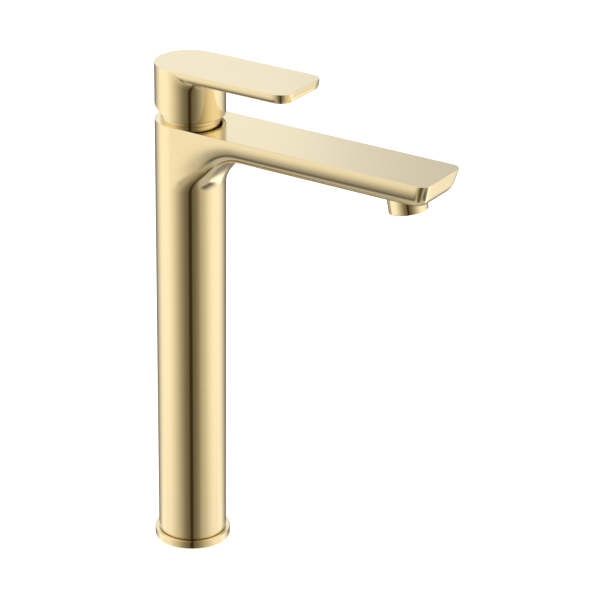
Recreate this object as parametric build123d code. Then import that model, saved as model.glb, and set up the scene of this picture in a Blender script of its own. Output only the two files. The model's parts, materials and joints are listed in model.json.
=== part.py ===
"""Tall single-lever basin mixer: a round column with a flat boat-shaped spout and a flat lever on top.

Millimetres. The origin is the centre of the column's foot on the deck, +X runs along the spout,
+Z up. Hot is on the left of a person facing the spout (-Y), cold on the right (+Y).
The lever rests level and closed, straight above the spout.
"""

from build123d import *
import math
import os

# ==== Sizes that can be set ====

# ---- Overall ----
TOP_Z = 309.5              # flat top of column and spout
SPOUT_REACH = 191.6        # column axis to the spout's tip
CARTRIDGE_R = 17.5         # 35 mm cartridge
BODY_OVER = 6.0            # from the cartridge to the outside of the column

# ---- Clearances ----
RUN_CLEAR = 0.05           # radial, parts that turn or slide in each other
STATIC_CLEAR = 0.1         # radial, parts that only sit in each other
O_RING_CLEAR = 0.05
PIN_CLEAR = 0.03
BALL_CLEAR = 0.15
SLIDE_CLEAR = 0.3          # beside and under the sliding carrier
TRAVEL_CLEAR = 0.4         # past the end of a travel
CUT_OVER = 1.0             # how far a cutting shape runs past the face it cuts

# ---- Column and foot ----
COLUMN_WALL = 3.0          # wall below the valve block
FOOT_STEP = 1.2            # the foot spigot is this much smaller than the column
FOOT_GAP = 0.5             # shadow gap between base ring and column

# ---- Spout ----
SPOUT_DEPTH = 17.2         # top face to underside
SPOUT_LEAN = 0.12          # how far the spout's sides lean in, per mm of depth
SPOUT_EDGE_R = 8.5         # rounding of the spout's lower side edges
TIP_LEAN = 0.30            # the same two for the spout's end face
TIP_EDGE_R = 6.0
TIP_CORNER_R = 8.5         # tip corners, seen from above
SIDE_SECTIONS = 4          # sections of the spout along its straight side
EDGE_SECTIONS = 7          # and along its rounded edge
BLEND_R = 28.0             # hollow curve under the spout, where it meets the column
BLEND_OVER = 1.5           # the blend's hidden back reaches this far into the column
BLEND_SINK = 0.06          # its two ends start this far inside the column and the spout
BLEND_SIDE = 0.05          # shortest flat side of the blend
BLEND_SECTIONS = 18        # sections from spout to column
BLEND_SPANS = 18           # spans along half a section
CHANNEL_HALF_W = 17.0      # waterway inside the spout
CHANNEL_ROOF = 3.2         # metal above the waterway
CHANNEL_FLOOR = 3.0        # metal below it
CHANNEL_END_WALL = 14.0    # metal left at the spout's tip

# ---- Base ring, gasket and plug ----
RING_STEP = 2.65           # the base ring stands out this far from the column
RING_H = 5.5
RING_EDGE_R = 0.5
RING_CLEAR = 0.2           # radial, round the foot spigot
RING_LIP_H = 1.5           # inner lip that the spigot stands on
RING_LIP_BACK = 0.8        # the lip stops this far outside the plug's bore
GASKET_LAND = 0.9          # metal between the ring's bore and the gasket
GASKET_W = 1.8
GASKET_H = 1.2
PLUG_LAND = 1.0            # the plug's bore is this much smaller than the hollow column
PLUG_H = 20.0
HOSE_THREAD_R = 4.46       # M10x1, at its minor diameter
HOSE_THREAD_L = 9.0
STUD_THREAD_R = 3.4        # M8, at its minor diameter
STUD_THREAD_L = 14.0
STUD_X = 12.5              # each stud hole from the axis

# ---- Supply tubes ----
SUPPLY_Y = 7.5             # each water line from the axis
TUBE_R = 4.0
TUBE_WALL = 0.8
TUBE_INSERT = 9.0          # how far a tube end goes into its socket
RING_WIRE_R = 0.9          # section radius of the tube O-rings

# ---- Cartridge ----
NUT_THREAD_H = 6.0         # top of the body to the cartridge's shoulder
CARTRIDGE_BODY_H = 20.5    # shoulder to seat
BLOCK_H = 21.0             # solid valve block below the seat
SEAT_CLEAR = 0.2           # radial, cartridge in its seat
CHAMBER_GAP = 1.8          # mixed-water chamber round the cartridge
CHAMBER_LIFT = 1.5         # it starts this far above the seat
CHAMBER_DROP = 5.5         # and ends this far below the shoulder
INLET_R = 2.6
OUTLET_R = 3.2
OUTLET_X = 6.5
CARTRIDGE_BASE_H = 6.5
WINDOW_H = 2.6             # side outlet of the cartridge base
INLET_SEAL_WALL = 1.3
INLET_SEAL_H = 1.2
INLET_SEAL_GAP = 0.2       # radial, from the inlet to its seal
HOUSING_WALL = 1.9         # wall of the wide lower part
DISC_CLEAR = 0.2           # radial, fixed disc in the housing
FIXED_DISC_H = 3.5
DISC_FILM = 0.05           # water film between the two ceramic discs
DISC_EDGE_CLEAR = 0.27     # moving disc to housing, at the end of its travel
MOVING_DISC_H = 2.95
DISC_POCKET_H = 1.6
DISC_POCKET_L = 4.4        # length of the pocket that crosses the inlets
DISC_POCKET_END = 0.7      # it stops this far short of the inlets' centres
DISC_LAND = 0.5            # closed land between inlet and pocket
SEAL_H = 0.8               # seal between moving disc and carrier
SEAL_W = 1.5
SEAL_EDGE = 1.5            # from the disc's rim to the seal
CARRIER_PLATE_H = 4.0
CARRIER_BLOCK_H = 4.3      # block on top of the carrier, round the spindle's ball
CARRIER_WALL_X = 2.45
CARRIER_WALL_Y = 2.0
CARRIER_HEADROOM = 0.8     # room above the carrier's block
COLLAR_STEP = 3.1          # the housing's collar is this much smaller than the cartridge
COLLAR_WALL = 1.45
COLLAR_H = 13.9
GUIDE_RISE = 1.2           # the guide stands this far above the collar
GUIDE_FLANGE_GAP = 0.8     # radial, flange in the housing
GUIDE_FLANGE_H = 1.3
STEM_CLEAR = 0.6           # guide slot, past the tilted spindle
HOUSING_RING_WIRE_R = 0.45
HOUSING_RING_DROP = 2.9    # its O-ring lies this far below the shoulder
HOUSING_GROOVE = 0.8

# ---- Lever mechanism ----
PIVOT_RISE = 11.5          # tilt axis of the lever, above the shoulder, along Y
LIFT_MAX = 20.0            # degrees
ARM = 12.7                 # tilt axis down to the ball
STEM_W = 8.0               # square lever spindle
STEM_UP = 21.5             # its ends, from the tilt axis
STEM_DOWN = 9.0
BALL_R = 3.4               # ball on the spindle that moves the disc
BALL_NECK_R = 2.4
PIN_R = 1.5
PIN_HALF_L = 11.5

# ---- Nut, stop ring and neck ring ----
NUT_THREAD_OVER = 1.4      # thread radius past the cartridge
NUT_BORE_CLEAR = 0.2
NUT_COLLAR_UNDER = 0.7     # collar radius short of the cartridge
NUT_COLLAR_H = 4.0
NUT_SLOT_W = 3.0
NUT_SLOT_H = 2.0
STOP_RING_UNDER = 0.4      # stop ring, short of the nut's collar
STOP_RING_H = 1.8
STOP_LUG_W = 3.0
STOP_LUG_GAP = 0.3
NECK_OVER = 2.3            # neck radius past the cartridge
NECK_UP = 9.0              # its top, above the tilt axis
CROWN_CLEAR = 0.6          # ball-shaped top of the neck ring, inside the skirt
NECK_MOUTH_GAP = 1.4       # radial, round the housing's collar
NECK_LIP_H = 2.0

# ---- Handle ----
LEVER_UP = 33.3            # top face, above the tilt axis
LEVER_H = 6.4
LEVER_REACH = 88.4
LEVER_CORNER_R = 8.5
LEVER_EDGE_R = 1.5         # rounding of the lever's lower edge
LEVER_RIM_R = 0.35         # rounding of its upper edge
SKIRT_GAP = 3.7            # skirt above the body's top
SKIRT_RELIEF = 21.8        # degrees; the rear of the skirt is cut away for the tilt
SKIRT_WALL = 2.2
SKIRT_CEILING_UP = 19.0    # inside of the skirt, above the tilt axis
BOSS_R = 9.5
BOSS_UP = 10.0
SOCKET_W = 8.2             # square socket for the spindle
SOCKET_END = 0.5           # room above the spindle
SCREW_UP = 15.0            # grub screw, above the tilt axis
SCREW_R = 2.4              # M5
SCREW_HOLE_R = 2.5
SCREW_L = 5.0
SCREW_HEX_R = 1.44         # 2.5 mm hexagon, across corners / 2
SCREW_HEX_DEPTH = 2.0
PLUG_HOLE_R = 3.0
INDEX_PLUG_IN = 0.8        # the cap reaches this far inside the skirt

# ---- Aerator, M22 inside ----
AERATOR_BACK = 24.7        # spout's tip back to the centre of the aerator's lower rim
AERATOR_DROP = 10.3        # spout's underside down to it
AERATOR_TILT = 11.4        # degrees, the jet leans forward
AERATOR_R = 12.7
AERATOR_L = 11.5
AERATOR_EDGE = 0.6         # chamfer on the lower rim
AERATOR_WALL = 1.7
AERATOR_LIP_H = 1.2        # lip at the lower rim, which holds the insert
AERATOR_LIP_W = 1.6
SPIGOT_WALL = 2.4          # M22x1 spigot under the spout
SPIGOT_END = 6.4           # spigot's lower end, above the rim
SPIGOT_OVER = 2.3          # its bore ends this far inside the waterway
RECESS_GAP = 0.5           # radial, recess in the spout round the aerator
RECESS_CLEAR = 0.3         # above the aerator
INSERT_H = 3.6
INSERT_HOLE_R = 0.7
INSERT_PITCH = 2.1
SCREEN_H = 0.5
SCREEN_HOLE_R = 1.4
SCREEN_HOLE_ROWS = (4.2, 7.35)
WASHER_H = 1.0

# ==== Sizes that follow from them ====

COLUMN_R = CARTRIDGE_R + BODY_OVER
HOLLOW_R = COLUMN_R - COLUMN_WALL
FOOT_R = COLUMN_R - FOOT_STEP
COLUMN_FOOT_Z = RING_H + FOOT_GAP
RING_R = COLUMN_R + RING_STEP
RING_BORE_R = FOOT_R + RING_CLEAR
PLUG_BORE_R = HOLLOW_R - PLUG_LAND
PASSAGE_R = TUBE_R - TUBE_WALL
SUPPLY_LINES = (-SUPPLY_Y, SUPPLY_Y)

SHOULDER_Z = TOP_Z - NUT_THREAD_H
SEAT_Z = SHOULDER_Z - CARTRIDGE_BODY_H
BLOCK_Z = SEAT_Z - BLOCK_H
SEAT_R = CARTRIDGE_R + SEAT_CLEAR
CHAMBER_R = SEAT_R + CHAMBER_GAP
CHAMBER_TOP_Z = SHOULDER_Z - CHAMBER_DROP
NUT_THREAD_R = CARTRIDGE_R + NUT_THREAD_OVER

PIVOT_Z = SHOULDER_Z + PIVOT_RISE
BALL_Z = PIVOT_Z - ARM
STEM_TOP_Z = PIVOT_Z + STEM_UP
STEM_BOTTOM_Z = PIVOT_Z - STEM_DOWN
DISC_TRAVEL = ARM * math.radians(LIFT_MAX)

HOUSING_INNER_R = CARTRIDGE_R - HOUSING_WALL
FIXED_DISC_R = HOUSING_INNER_R - DISC_CLEAR
MOVING_DISC_R = HOUSING_INNER_R - DISC_TRAVEL - DISC_EDGE_CLEAR
FIXED_DISC_Z = SEAT_Z + CARTRIDGE_BASE_H
FIXED_DISC_TOP = FIXED_DISC_Z + FIXED_DISC_H
MOVING_DISC_Z = FIXED_DISC_TOP + DISC_FILM
CARRIER_Z = MOVING_DISC_Z + MOVING_DISC_H
CARRIER_PLATE_TOP = CARRIER_Z + CARRIER_PLATE_H
CARRIER_TOP = CARRIER_PLATE_TOP + CARRIER_BLOCK_H
BALL_ROOM = BALL_R + BALL_CLEAR
CARRIER_BLOCK_X = BALL_ROOM + CARRIER_WALL_X
CARRIER_BLOCK_Y = BALL_ROOM + CARRIER_WALL_Y
COLLAR_R = CARTRIDGE_R - COLLAR_STEP
COLLAR_TOP_Z = SHOULDER_Z + COLLAR_H
GUIDE_BORE_R = COLLAR_R - COLLAR_WALL
GUIDE_R = GUIDE_BORE_R - RUN_CLEAR
GUIDE_Z = CARRIER_PLATE_TOP + SLIDE_CLEAR
GUIDE_TOP_Z = COLLAR_TOP_Z + GUIDE_RISE
GUIDE_FLANGE_R = HOUSING_INNER_R - GUIDE_FLANGE_GAP
GUIDE_FLANGE_TOP = GUIDE_Z + GUIDE_FLANGE_H
HOUSING_STEP_Z = GUIDE_FLANGE_TOP + STATIC_CLEAR
HOUSING_RING_Z = SHOULDER_Z - HOUSING_RING_DROP

NUT_COLLAR_R = CARTRIDGE_R - NUT_COLLAR_UNDER
NUT_TOP_Z = TOP_Z + NUT_COLLAR_H
STOP_RING_R = NUT_COLLAR_R - STOP_RING_UNDER
SKIRT_INNER_R = COLUMN_R - SKIRT_WALL
NECK_R = CARTRIDGE_R + NECK_OVER
NECK_CROWN_R = SKIRT_INNER_R - CROWN_CLEAR
NECK_TOP_Z = PIVOT_Z + NECK_UP
NECK_MOUTH_R = COLLAR_R + NECK_MOUTH_GAP

LEVER_TOP_Z = PIVOT_Z + LEVER_UP
SKIRT_Z = TOP_Z + SKIRT_GAP
SKIRT_CEILING_Z = PIVOT_Z + SKIRT_CEILING_UP
BOSS_Z = PIVOT_Z + BOSS_UP
SCREW_Z = PIVOT_Z + SCREW_UP

UNDERSIDE_Z = TOP_Z - SPOUT_DEPTH
AERATOR_X = SPOUT_REACH - AERATOR_BACK
AERATOR_Z = UNDERSIDE_Z - AERATOR_DROP
SPIGOT_R = AERATOR_R - AERATOR_WALL - STATIC_CLEAR
SPIGOT_BORE_R = SPIGOT_R - SPIGOT_WALL
AERATOR_LIP_R = AERATOR_R - AERATOR_WALL - AERATOR_LIP_W
INSERT_R = SPIGOT_R
SCREEN_Z = AERATOR_LIP_H + INSERT_H

TOP_OF = (Align.CENTER, Align.CENTER, Align.MIN)


# ==== Shared shapes ====

def rod(radius, low, high, x=0.0, y=0.0):
    """Solid cylinder along Z between two heights."""
    return Pos(x, y, low) * Cylinder(radius, high - low, align=TOP_OF)


def ring(outer, inner, low, high, x=0.0, y=0.0):
    """Round ring along Z between two heights."""
    return rod(outer, low, high, x, y) - rod(inner, low, high, x, y)


def block(x, y, z):
    """Box from its three pairs of limits."""
    low = (Align.MIN, Align.MIN, Align.MIN)
    return Pos(x[0], y[0], z[0]) * Box(x[1] - x[0], y[1] - y[0], z[1] - z[0], align=low)


def outline(z, reach, half_width, corner_r):
    """Closed outline at one height: square at the rear, at the axis, with round corners at the front."""
    turn = reach - corner_r
    side = half_width - corner_r
    with BuildSketch(Plane.XY.offset(z)) as shape:
        with BuildLine():
            Line((0, half_width), (0, -half_width))
            Line((0, -half_width), (turn, -half_width))
            CenterArc((turn, -side), corner_r, -90, 90)
            Line((reach, -side), (reach, side))
            CenterArc((turn, side), corner_r, 0, 90)
            Line((turn, half_width), (0, half_width))
        make_face()
    return shape.sketch


def in_aerator_frame(shape):
    """Moves a shape built up from z = 0 onto the leaning axis of the aerator."""
    return Pos(AERATOR_X, 0, AERATOR_Z) * Rot(0, -AERATOR_TILT, 0) * shape


# ==== Body ====

def edge_inset(depth, lean, edge_r):
    """How far the spout's wall has come in at a depth below its top face."""
    past = max(0.0, depth - (SPOUT_DEPTH - edge_r))
    return lean * depth + edge_r - math.sqrt(max(0.0, edge_r ** 2 - past ** 2))


def spout_depths():
    """Depths of the spout's sections, evenly spread along its curved side."""
    straight = SPOUT_DEPTH - SPOUT_EDGE_R
    side = [straight * i / SIDE_SECTIONS for i in range(SIDE_SECTIONS)]
    turns = [math.pi / 2 * i / EDGE_SECTIONS for i in range(EDGE_SECTIONS + 1)]
    return side + [straight + SPOUT_EDGE_R * math.sin(turn) for turn in turns]


def spout_half_width(depth):
    """Half the spout's width at a depth below its top face."""
    return COLUMN_R - edge_inset(depth, SPOUT_LEAN, SPOUT_EDGE_R)


def spout_section(depth):
    """Level section of the spout at a depth below its top face."""
    tip = SPOUT_REACH - edge_inset(depth, TIP_LEAN, TIP_EDGE_R)
    return outline(TOP_Z - depth, tip, spout_half_width(depth), TIP_CORNER_R)


def blend_points(share):
    """Half section of the blend as (half width, height over its underside).

    share is 0 at the spout, where it is the spout's section, and 1 at the column, a quarter circle.
    """
    flat = spout_half_width(SPOUT_DEPTH)
    spout = [(flat * i / SIDE_SECTIONS, 0.0) for i in range(SIDE_SECTIONS)]
    spout += [(spout_half_width(d), SPOUT_DEPTH - d) for d in reversed(spout_depths())]
    points = []
    for i in range(BLEND_SPANS + 1):
        place = i / BLEND_SPANS * (len(spout) - 1)
        low = min(int(place), len(spout) - 2)
        part = place - low
        wide = spout[low][0] + part * (spout[low + 1][0] - spout[low][0])
        high = spout[low][1] + part * (spout[low + 1][1] - spout[low][1])
        angle = math.pi / 2 * i / BLEND_SPANS
        wide += share * (COLUMN_R * math.sin(angle) - wide)
        high += share * (COLUMN_R * (1 - math.cos(angle)) - high)
        points.append((wide * (1 - BLEND_SINK / COLUMN_R), high + BLEND_SINK))
    return points


def blend_section(turn):
    """Section through the blend's axis, turned from the spout (0) towards the column (90 degrees)."""
    angle = math.radians(turn)
    half = blend_points((1 - math.cos(2 * angle)) / 2)
    axis_x = COLUMN_R + BLEND_R
    axis_z = UNDERSIDE_Z - BLEND_R
    nearly_zero = 1e-6
    to_top = (TOP_Z + BLEND_OVER - axis_z) / max(math.cos(angle), nearly_zero)
    to_axis = axis_x / max(math.sin(angle), nearly_zero) + BLEND_SINK + BLEND_SIDE
    close = min(to_top, to_axis)
    facing = Plane((axis_x, 0, axis_z), x_dir=(0, 1, 0), z_dir=(math.cos(angle), 0, math.sin(angle)))
    right = [(w, BLEND_R + h) for w, h in half]
    left = [(-w, BLEND_R + h) for w, h in reversed(half[1:])]
    side = half[-1][0]
    inner = side - BLEND_OVER
    back = close + BLEND_OVER
    with BuildSketch(facing) as section:
        with BuildLine():
            Spline(*left, *right)
            Polyline(right[-1], (side, close), (inner, back), (-inner, back), (-side, close), left[0])
        make_face()
    return section.sketch


def body_outside():
    """Outside of the column and spout as one solid lump."""
    column = rod(COLUMN_R, COLUMN_FOOT_Z, TOP_Z)
    spout = loft([spout_section(d) for d in spout_depths()])
    blend = loft([blend_section(90 * i / BLEND_SECTIONS) for i in range(BLEND_SECTIONS + 1)])
    above = block((-COLUMN_R, SPOUT_REACH), (-2 * COLUMN_R, 2 * COLUMN_R), (TOP_Z, TOP_Z + 2 * COLUMN_R))
    return column + spout + (blend - above)


def o_ring_heights():
    """Middle of the O-ring in the lower and in the upper tube socket."""
    return (PLUG_H - TUBE_INSERT / 2, BLOCK_Z + TUBE_INSERT / 2)


def tube_socket(low, high, ring_z, y):
    """Socket for a tube end, with the groove of its O-ring."""
    groove_half_h = RING_WIRE_R + O_RING_CLEAR
    groove_r = TUBE_R + 2 * groove_half_h
    return rod(TUBE_R + STATIC_CLEAR, low, high, 0, y) + rod(
        groove_r, ring_z - groove_half_h, ring_z + groove_half_h, 0, y)


def waterway():
    """Channel from the cartridge's chamber along the spout, clear of the nut's thread."""
    roof = TOP_Z - CHANNEL_ROOF
    start = SEAT_R - CHAMBER_GAP
    channel = block((start, SPOUT_REACH - CHANNEL_END_WALL), (-CHANNEL_HALF_W, CHANNEL_HALF_W),
                    (UNDERSIDE_Z + CHANNEL_FLOOR, roof))
    return channel - rod(NUT_THREAD_R + STATIC_CLEAR, CHAMBER_TOP_Z, TOP_Z)


def faucet_body():
    """Brass casting: column, spout, valve seat and waterways."""
    body = body_outside() + rod(FOOT_R, RING_LIP_H, COLUMN_FOOT_Z)
    body -= rod(PLUG_BORE_R, RING_LIP_H, PLUG_H)
    body -= rod(HOLLOW_R, PLUG_H, BLOCK_Z)
    body -= rod(SEAT_R, SEAT_Z, SHOULDER_Z)
    body -= rod(CHAMBER_R, SEAT_Z + CHAMBER_LIFT, CHAMBER_TOP_Z)
    body -= rod(NUT_THREAD_R + STATIC_CLEAR, SHOULDER_Z, TOP_Z)
    for y in SUPPLY_LINES:
        body -= tube_socket(BLOCK_Z, BLOCK_Z + TUBE_INSERT + STATIC_CLEAR, o_ring_heights()[1], y)
        body -= rod(INLET_R, BLOCK_Z, SEAT_Z, 0, y)
    body -= waterway()
    recess_top = AERATOR_L + RECESS_CLEAR
    body -= in_aerator_frame(rod(AERATOR_R + RECESS_GAP, -AERATOR_L, recess_top))
    body += in_aerator_frame(rod(SPIGOT_R, SPIGOT_END, recess_top))
    bore_top = AERATOR_DROP + CHANNEL_FLOOR + SPIGOT_OVER
    return body - in_aerator_frame(rod(SPIGOT_BORE_R, SPIGOT_END, bore_top))


# ==== Base ====

def base_gasket(clear=0.0):
    """Rubber ring under the base ring, or with a clearance the groove for it."""
    inner = RING_BORE_R + GASKET_LAND
    return ring(inner + GASKET_W + clear, inner - clear, 0, GASKET_H)


def base_ring():
    """Stepped ring that covers the hole in the deck."""
    body = rod(RING_R, 0, RING_H)
    body = fillet(body.edges().group_by(Axis.Z)[-1], RING_EDGE_R)
    body -= rod(RING_BORE_R, RING_LIP_H, RING_H)
    body -= rod(PLUG_BORE_R + RING_LIP_BACK, 0, RING_LIP_H)
    return body - base_gasket(STATIC_CLEAR)


def base_plug():
    """Threaded bottom plug with hose sockets below, tube sockets above and two stud holes."""
    plug = rod(PLUG_BORE_R - STATIC_CLEAR, 0, PLUG_H)
    for y in SUPPLY_LINES:
        plug -= rod(HOSE_THREAD_R, 0, HOSE_THREAD_L, 0, y)
        plug -= rod(PASSAGE_R, 0, PLUG_H, 0, y)
        plug -= tube_socket(PLUG_H - TUBE_INSERT - STATIC_CLEAR, PLUG_H, o_ring_heights()[0], y)
    for x in (-STUD_X, STUD_X):
        plug -= rod(STUD_THREAD_R, 0, STUD_THREAD_L, x)
    return plug


def supply_tube(y):
    """Copper tube from the bottom plug to the valve block."""
    return ring(TUBE_R, TUBE_R - TUBE_WALL, PLUG_H - TUBE_INSERT, BLOCK_Z + TUBE_INSERT, 0, y)


def tube_o_rings():
    """The four O-rings that seal the tube ends."""
    middle = TUBE_R + O_RING_CLEAR + RING_WIRE_R
    return Compound(children=[Pos(0, y, z) * Torus(middle, RING_WIRE_R)
                              for y in SUPPLY_LINES for z in o_ring_heights()])


# ==== Cartridge ====

def inlet_seal(y, clear=0.0):
    """Round seal under the cartridge at one inlet, or with a clearance the groove for it."""
    inner = INLET_R + INLET_SEAL_GAP
    return ring(inner + INLET_SEAL_WALL + clear, inner - clear, SEAT_Z, SEAT_Z + INLET_SEAL_H + clear, 0, y)


def inlet_seals():
    """The seals of both inlets."""
    return Compound(children=[inlet_seal(y) for y in SUPPLY_LINES])


def cartridge_base():
    """Lower part of the cartridge: two inlets up, one outlet down and out at the front."""
    base = rod(CARTRIDGE_R - STATIC_CLEAR, SEAT_Z, FIXED_DISC_Z)
    window_z = SEAT_Z + 2 * INLET_SEAL_H
    for y in SUPPLY_LINES:
        base -= rod(INLET_R, SEAT_Z, FIXED_DISC_Z, 0, y)
        base -= inlet_seal(y, O_RING_CLEAR)
    base -= rod(OUTLET_R, window_z, FIXED_DISC_Z, OUTLET_X)
    return base - block((OUTLET_X, CARTRIDGE_R + CUT_OVER), (-OUTLET_R, OUTLET_R),
                        (window_z, window_z + WINDOW_H))


def fixed_disc():
    """Lower ceramic disc, with its two inlets and its outlet."""
    disc = rod(FIXED_DISC_R, FIXED_DISC_Z, FIXED_DISC_TOP)
    for y in SUPPLY_LINES:
        disc -= rod(INLET_R, FIXED_DISC_Z, FIXED_DISC_TOP, 0, y)
    return disc - rod(OUTLET_R, FIXED_DISC_Z, FIXED_DISC_TOP, OUTLET_X)


def moving_disc():
    """Upper ceramic disc. Its pocket joins inlets and outlet once the disc slides forward."""
    disc = rod(MOVING_DISC_R, MOVING_DISC_Z, CARRIER_Z)
    high = (MOVING_DISC_Z, MOVING_DISC_Z + DISC_POCKET_H)
    front = -(INLET_R + DISC_LAND)
    rear = front - DISC_POCKET_L
    half_width = SUPPLY_Y - DISC_POCKET_END
    disc -= block((rear, front), (-half_width, half_width), high)
    return disc - block((rear, OUTLET_X + CUT_OVER), (-OUTLET_R, OUTLET_R), high)


def disc_seal(clear=0.0):
    """Seal between disc and carrier, or with a clearance the groove for it."""
    outer = MOVING_DISC_R - SEAL_EDGE
    return ring(outer + clear, outer - SEAL_W - clear, CARRIER_Z, CARRIER_Z + SEAL_H + clear)


def disc_carrier():
    """Plastic slide that holds the upper disc; the spindle's ball sits in its pocket."""
    carrier = rod(MOVING_DISC_R, CARRIER_Z, CARRIER_PLATE_TOP)
    carrier += block((-CARRIER_BLOCK_X, CARRIER_BLOCK_X), (-CARRIER_BLOCK_Y, CARRIER_BLOCK_Y),
                     (CARRIER_PLATE_TOP, CARRIER_TOP))
    carrier -= block((-BALL_ROOM, BALL_ROOM), (-BALL_ROOM, BALL_ROOM), (BALL_Z - BALL_ROOM, CARRIER_TOP))
    return carrier - disc_seal(O_RING_CLEAR)


def cross_pin(radius, half_length):
    """Round bar along Y through the tilt axis."""
    return Pos(0, 0, PIVOT_Z) * Rot(90, 0, 0) * Cylinder(radius, 2 * half_length)


def cartridge_guide():
    """Part of the cartridge that turns with the lever and guides its tilt and the sliding carrier."""
    guide = rod(GUIDE_R, GUIDE_Z, GUIDE_TOP_Z) + rod(GUIDE_FLANGE_R, GUIDE_Z, GUIDE_FLANGE_TOP)
    block_room = CARRIER_TOP + CARRIER_HEADROOM
    block_side = CARRIER_BLOCK_Y + SLIDE_CLEAR
    guide -= block((-CARRIER_BLOCK_X - TRAVEL_CLEAR, CARRIER_BLOCK_X + DISC_TRAVEL + TRAVEL_CLEAR),
                   (-block_side, block_side), (GUIDE_Z, block_room))
    tilt = math.radians(LIFT_MAX)
    half = STEM_W / 2
    slot_half = half + STATIC_CLEAR
    front = half * math.cos(tilt) + STEM_DOWN * math.sin(tilt) + STEM_CLEAR
    rear = half * math.cos(tilt) + (GUIDE_TOP_Z - PIVOT_Z) * math.sin(tilt) + STEM_CLEAR
    guide -= block((-rear, front), (-slot_half, slot_half), (block_room, GUIDE_TOP_Z))
    return guide - cross_pin(PIN_R + PIN_CLEAR, GUIDE_R)


def cartridge_housing():
    """Outer plastic shell of the cartridge."""
    shell = ring(CARTRIDGE_R, HOUSING_INNER_R, FIXED_DISC_Z, HOUSING_STEP_Z)
    shell += ring(CARTRIDGE_R, GUIDE_BORE_R, HOUSING_STEP_Z, SHOULDER_Z)
    shell += ring(COLLAR_R, GUIDE_BORE_R, SHOULDER_Z, COLLAR_TOP_Z)
    half_h = HOUSING_RING_WIRE_R + O_RING_CLEAR
    return shell - ring(CARTRIDGE_R + CUT_OVER, CARTRIDGE_R - HOUSING_GROOVE,
                        HOUSING_RING_Z - half_h, HOUSING_RING_Z + half_h)


def housing_o_ring():
    """O-ring between the cartridge and its seat."""
    middle = SEAT_R - O_RING_CLEAR - HOUSING_RING_WIRE_R
    return Pos(0, 0, HOUSING_RING_Z) * Torus(middle, HOUSING_RING_WIRE_R)


# ==== Lever mechanism ====

def pivot_pin():
    """Pin that the spindle tilts on."""
    return cross_pin(PIN_R, PIN_HALF_L)


def lever_stem():
    """Square spindle with a ball at its lower end."""
    half = STEM_W / 2
    stem = block((-half, half), (-half, half), (STEM_BOTTOM_Z, STEM_TOP_Z))
    stem += rod(BALL_NECK_R, BALL_Z, STEM_BOTTOM_Z)
    stem += Pos(0, 0, BALL_Z) * Sphere(BALL_R)
    return stem - cross_pin(PIN_R + PIN_CLEAR, STEM_W)


def cartridge_nut():
    """Brass nut that holds the cartridge down; its collar carries the neck ring."""
    nut = rod(NUT_THREAD_R, SHOULDER_Z, TOP_Z) + rod(NUT_COLLAR_R, TOP_Z, NUT_TOP_Z)
    nut -= rod(COLLAR_R + NUT_BORE_CLEAR, SHOULDER_Z, NUT_TOP_Z)
    slot = block((-NUT_SLOT_W / 2, NUT_SLOT_W / 2), (0, NUT_COLLAR_R + CUT_OVER),
                 (NUT_TOP_Z - NUT_SLOT_H, NUT_TOP_Z))
    for turn in range(45, 360, 90):
        nut -= Rot(0, 0, turn) * slot
    return nut


def hot_limit_ring():
    """Plastic stop ring on the cartridge collar, with one lug."""
    inner = COLLAR_R + STATIC_CLEAR
    stop = ring(STOP_RING_R, inner, NUT_TOP_Z, NUT_TOP_Z + STOP_RING_H)
    return stop + block((-STOP_RING_R, -inner - STOP_LUG_GAP), (-STOP_LUG_W / 2, STOP_LUG_W / 2),
                        (NUT_TOP_Z, NUT_TOP_Z + 2 * STOP_RING_H))


def neck_ring():
    """Polished ring between body and handle, its top part of a ball about the tilt axis."""
    outside = rod(NECK_R, TOP_Z, NECK_TOP_Z) & (Pos(0, 0, PIVOT_Z) * Sphere(NECK_CROWN_R))
    outside -= rod(NUT_COLLAR_R + STATIC_CLEAR, TOP_Z, NECK_TOP_Z - NECK_LIP_H)
    return outside - rod(NECK_MOUTH_R, TOP_Z, NECK_TOP_Z)


# ==== Handle ====

def rear_bar(radius, inner_x, outer_x):
    """Round bar at the rear of the handle, along X, between two distances behind the axis."""
    bar = Rot(0, -90, 0) * Cylinder(radius, outer_x - inner_x, align=TOP_OF)
    return Pos(-inner_x, 0, SCREW_Z) * bar


def handle():
    """Flat lever and round skirt in one casting."""
    low = LEVER_TOP_Z - LEVER_H
    plate = extrude(outline(low, LEVER_REACH, COLUMN_R, LEVER_CORNER_R), LEVER_H)
    plate += rod(COLUMN_R, low, LEVER_TOP_Z)
    plate = fillet(plate.edges().group_by(Axis.Z)[0], LEVER_EDGE_R)
    plate = fillet(plate.edges().group_by(Axis.Z)[-1], LEVER_RIM_R)
    skirt = rod(COLUMN_R, SKIRT_Z, low + LEVER_EDGE_R)
    skirt -= rod(SKIRT_INNER_R, SKIRT_Z, SKIRT_CEILING_Z)
    shape = plate + skirt + rod(BOSS_R, BOSS_Z, SKIRT_CEILING_Z)
    half = SOCKET_W / 2
    shape -= block((-half, half), (-half, half), (BOSS_Z, STEM_TOP_Z + SOCKET_END))
    shape -= rear_bar(SCREW_HOLE_R, 0, BOSS_R + CUT_OVER)
    shape -= rear_bar(PLUG_HOLE_R, SKIRT_INNER_R - CUT_OVER, COLUMN_R + CUT_OVER)
    side = 2 * COLUMN_R
    drop = Box(2 * side, 2 * side, side, align=(Align.MAX, Align.CENTER, Align.MAX))
    return shape - Pos(0, 0, SKIRT_Z) * Rot(0, SKIRT_RELIEF, 0) * drop


def set_screw():
    """Grub screw that clamps the handle on the spindle."""
    start = STEM_W / 2
    end = start + SCREW_L
    screw = rear_bar(SCREW_R, start, end)
    hexagon = extrude(RegularPolygon(SCREW_HEX_R, 6), SCREW_HEX_DEPTH)
    return screw - Pos(SCREW_HEX_DEPTH - end, 0, SCREW_Z) * Rot(0, -90, 0) * hexagon


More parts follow.
